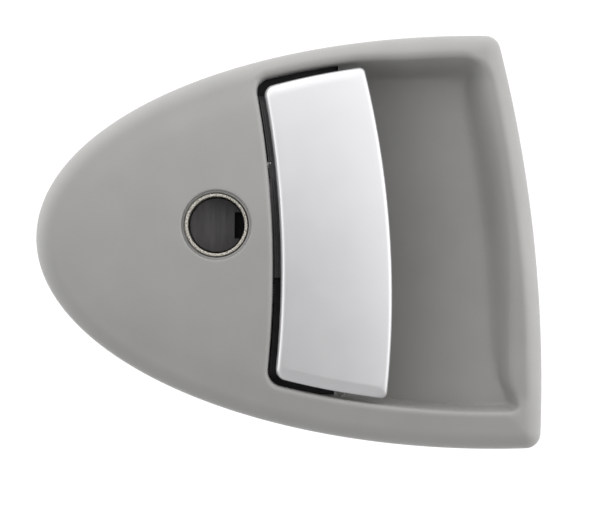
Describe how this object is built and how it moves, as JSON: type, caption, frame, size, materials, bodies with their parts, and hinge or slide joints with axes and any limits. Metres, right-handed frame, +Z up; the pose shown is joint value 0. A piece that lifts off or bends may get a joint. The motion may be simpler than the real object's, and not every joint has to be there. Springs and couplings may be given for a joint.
{
  "type": "door handle",
  "caption": "D-shaped exterior door handle with a sprung silver pull paddle, moulded finger pocket and empty lock barrel bore.",
  "frame": {"origin": "on the axis of the lock, in the plane of the outer face of the door skin", "axes": "+X towards the finger pocket, +Y into the door along the lock axis, +Z up"},
  "size_m": [0.1611, 0.0435, 0.1312],
  "materials": {
    "housing_plastic": "fine-grained grey moulded plastic",
    "silver_paint": "satin silver",
    "lever_nylon": "black glass-filled nylon",
    "black_nylon": "black glass-filled nylon",
    "sleeve_zinc": "cast and machined zinc, slightly grainy",
    "driver_dark": "dark grey with faint drawn streaks",
    "steel": "bright zinc plate",
    "dark_steel": "phosphated spring steel",
    "brass": "turned, knurled",
    "acetal": "black acetal",
    "seal_rubber": "closed-cell seal",
    "stop_rubber": "matte"
  },
  "bodies": {
    "housing": {"housing": "housing_plastic", "door_seal": "seal_rubber", "mounting_frame": "black_nylon", "rear_cover": "black_nylon", "hinge_pin": "steel", "hinge_pin_clip": "dark_steel", "return_spring": "steel", "slider_spring": "steel", "lock_sleeve": "sleeve_zinc", "sleeve_circlip": "dark_steel", "paddle_stop_upper": "stop_rubber", "paddle_stop_lower": "stop_rubber", "fixing_insert_1": "brass", "fixing_insert_2": "brass", "fixing_insert_3": "brass", "fixing_insert_4": "brass", "cover_screw_1": "steel", "cover_screw_2": "steel", "cover_screw_3": "steel", "cover_screw_4": "steel", "frame_screw_1": "steel", "frame_screw_2": "steel", "frame_screw_3": "steel"},
    "paddle": {"paddle_cover": "silver_paint", "paddle_lever": "lever_nylon", "hinge_bush_upper": "acetal", "hinge_bush_lower": "acetal"},
    "release_slider": {"release_slider": "steel"},
    "lock_rotor": {"lock_driver": "driver_dark", "lock_cam": "steel", "cam_screw": "steel"},
    "locking_slider": {"locking_slider": "steel"}
  },
  "joints": [
    {"name": "paddle_hinge", "type": "hinge", "parent": "housing", "child": "paddle", "pos_m": [0.0165, -0.0098, 0], "axis": [0, 0, -1], "range_deg": [0, 20], "stiffness_Nm_per_rad": 0.25, "springref_deg": -22.92, "deforming": ["return_spring"]},
    {"name": "release_slide", "type": "slide", "parent": "housing", "child": "release_slider", "axis": [1, 0, 0], "range_m": [0, 0.0053], "stiffness_N_per_m": 150, "springref_m": -0.01, "deforming": ["slider_spring"]},
    {"name": "lock_turn", "type": "hinge", "parent": "housing", "child": "lock_rotor", "pos_m": [0, 0.005, 0], "axis": [0, -1, 0], "range_deg": [0, 90]},
    {"name": "locking_slide", "type": "slide", "parent": "housing", "child": "locking_slider", "axis": [0, 0, 1], "range_m": [0, 0.00848]}
  ],
  "couplings": [
    {"joint": "release_slide", "follows": "paddle_hinge", "m_per_rad": 0.01515},
    {"joint": "lock_turn", "follows": "locking_slide", "rad_per_m": 185.2}
  ]
}
